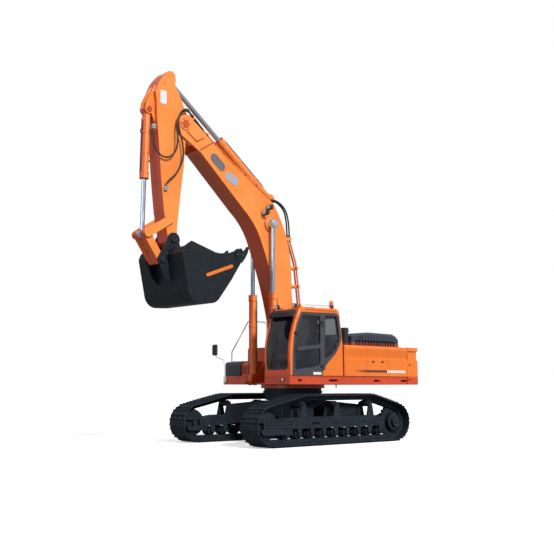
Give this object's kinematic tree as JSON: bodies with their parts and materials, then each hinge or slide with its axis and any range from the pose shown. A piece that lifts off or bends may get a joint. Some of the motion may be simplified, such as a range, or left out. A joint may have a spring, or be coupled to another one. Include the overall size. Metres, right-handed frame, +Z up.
{
  "type": "crawler excavator",
  "caption": "Hydraulic crawler excavator with a slewing upper body and cab, raised boom, hanging arm and curled digging bucket on steel tracks.",
  "frame": {"origin": "on the slewing axis, on the ground that the tracks stand on, midway between the two tracks", "axes": "+X forward to the boom and bucket, +Y to the left, the cab's side, +Z up along the slewing axis"},
  "size_m": [8.6448, 3.66, 9.038],
  "materials": {
    "body_orange": "satin orange paint",
    "boom_orange": "satin orange paint, fabricated steel",
    "door_grey": "dark blue-grey paint",
    "track_steel": "dark worn steel",
    "frame_orange": "dusty orange paint",
    "bucket_black": "dark blue-black paint",
    "tooth_steel": "bare cast steel",
    "barrel_orange": "gloss orange paint",
    "rod_chrome": "polished hard chrome",
    "link_grey": "dark grey paint",
    "glass": "clear laminated glass",
    "seat_fabric": "dark woven cloth",
    "console_plastic": "moulded dark plastic",
    "engine_metal": "painted castings",
    "white_paint": "white paint",
    "dark_plastic": "moulded dark plastic",
    "hood_dark": "dark blue-grey gloss paint",
    "lamp": "dark moulded lamp body with a clear lens",
    "beacon": "amber-red moulded lens on a dark foot"
  },
  "bodies": {
    "undercarriage": {"lower_frame": "frame_orange", "slew_ring": "frame_orange", "track_frame_left": "frame_orange", "track_frame_right": "frame_orange", "track_left": "track_steel", "track_right": "track_steel", "front_idlers": "track_steel", "drive_sprockets": "track_steel", "final_drives": "frame_orange", "bottom_rollers": "track_steel", "carrier_rollers": "track_steel"},
    "upperstructure": {"main_frame": "body_orange", "boom_brackets": "body_orange", "deck_left": "body_orange", "deck_right": "body_orange", "house_bulkheads": "body_orange", "cab_shell": "body_orange", "cab_window_frame": "door_grey", "cab_glass": "glass", "door_hinges": "door_grey", "operator_seat": "seat_fabric", "control_console": "console_plastic", "side_panel_left": "body_orange", "side_panel_right": "body_orange", "top_cover": "body_orange", "engine_hood": "hood_dark", "engine_block": "engine_metal", "air_pre_cleaner": "dark_plastic", "counterweight": "body_orange", "tool_box": "hood_dark", "fuel_tank": "body_orange", "valve_cover": "body_orange", "cab_visor": "dark_plastic", "work_lamps": "lamp", "beacon": "beacon", "handrails": "white_paint", "mirror_post": "white_paint", "mirror_head": "dark_plastic"},
    "cab_door": {"door_frame": "door_grey", "door_glass": "glass", "door_fittings": "door_grey"},
    "boom": {"boom": "boom_orange", "boom_lamps": "lamp", "boom_pipes": "boom_orange"},
    "boom_cylinder_barrels": {"boom_barrels": "barrel_orange"},
    "boom_cylinder_rods": {"boom_rods": "rod_chrome"},
    "arm": {"arm": "boom_orange"},
    "arm_cylinder_barrel": {"arm_barrel": "barrel_orange"},
    "arm_cylinder_rod": {"arm_rod": "rod_chrome"},
    "guide_links": {"guide_links": "link_grey"},
    "tipping_link": {"tipping_link": "link_grey"},
    "bucket_cylinder_barrel": {"bucket_barrel": "barrel_orange"},
    "bucket_cylinder_rod": {"bucket_rod": "rod_chrome"},
    "bucket": {"bucket_shell": "bucket_black", "bucket_teeth": "tooth_steel"}
  },
  "joints": [
    {"name": "slew", "type": "hinge", "parent": "undercarriage", "child": "upperstructure", "pos_m": [0, 0, 1.385], "axis": [0, 0, 1], "continuous": true},
    {"name": "boom_lift", "type": "hinge", "parent": "upperstructure", "child": "boom", "pos_m": [0.43, 0, 2.33], "axis": [0, -1, 0], "range_deg": [-100, 3]},
    {"name": "arm_swing", "type": "hinge", "parent": "boom", "child": "arm", "pos_m": [3.8, 0, 7.776], "axis": [0, 1, 0], "range_deg": [-90, 6]},
    {"name": "bucket_curl", "type": "hinge", "parent": "arm", "child": "bucket", "pos_m": [4.081, 0, 4.894], "axis": [0, 1, 0], "range_deg": [-92, 30]},
    {"name": "door_swing", "type": "hinge", "parent": "upperstructure", "child": "cab_door", "pos_m": [0.345, 1.513, 2.5], "axis": [0, 0, 1], "range_deg": [0, 165]},
    {"name": "boom_cylinder_swing", "type": "hinge", "parent": "upperstructure", "child": "boom_cylinder_barrels", "pos_m": [1.051, 0, 1.603], "axis": [0, -1, 0], "range_deg": [-100.88, 3.51]},
    {"name": "boom_cylinder_stroke", "type": "slide", "parent": "boom_cylinder_barrels", "child": "boom_cylinder_rods", "axis": [0.003, 0, 1], "range_m": [-1.4687, 0.0479]},
    {"name": "arm_cylinder_swing", "type": "hinge", "parent": "boom", "child": "arm_cylinder_barrel", "pos_m": [0.887, 0, 6.362], "axis": [0, 1, 0], "range_deg": [-8.05, 1]},
    {"name": "arm_cylinder_stroke", "type": "slide", "parent": "arm_cylinder_barrel", "child": "arm_cylinder_rod", "axis": [0.7913, 0, 0.6114], "range_m": [-1.6387, 0.113]},
    {"name": "bucket_cylinder_swing", "type": "hinge", "parent": "arm", "child": "bucket_cylinder_barrel", "pos_m": [4.739, 0, 8], "axis": [0, 1, 0], "range_deg": [-1.78, 4.41]},
    {"name": "bucket_cylinder_stroke", "type": "slide", "parent": "bucket_cylinder_barrel", "child": "bucket_cylinder_rod", "axis": [0.0202, 0, -0.9998], "range_m": [-0.9623, 0.3165]},
    {"name": "guide_link_swing", "type": "hinge", "parent": "arm", "child": "guide_links", "pos_m": [4.18, 0, 5.37], "axis": [0, 1, 0], "range_deg": [-83.78, 27.66]},
    {"name": "tipping_link_swing", "type": "hinge", "parent": "bucket", "child": "tipping_link", "pos_m": [4.4, 0, 4.39], "axis": [0, 1, 0], "range_deg": [-21.11, 63.7]}
  ],
  "couplings": [
    {"joint": "boom_cylinder_swing", "follows": "boom_lift", "ratio": 1.0038},
    {"joint": "boom_cylinder_stroke", "follows": "boom_lift", "m_per_rad": 0.83921},
    {"joint": "arm_cylinder_swing", "follows": "arm_swing", "ratio": 0.083861},
    {"joint": "arm_cylinder_stroke", "follows": "arm_swing", "m_per_rad": 1.0407},
    {"joint": "bucket_cylinder_swing", "follows": "bucket_curl", "ratio": -0.04253},
    {"joint": "bucket_cylinder_stroke", "follows": "bucket_curl", "m_per_rad": 0.59684},
    {"joint": "guide_link_swing", "follows": "bucket_curl", "ratio": 0.90524},
    {"joint": "tipping_link_swing", "follows": "bucket_curl", "ratio": -0.68696}
  ]
}
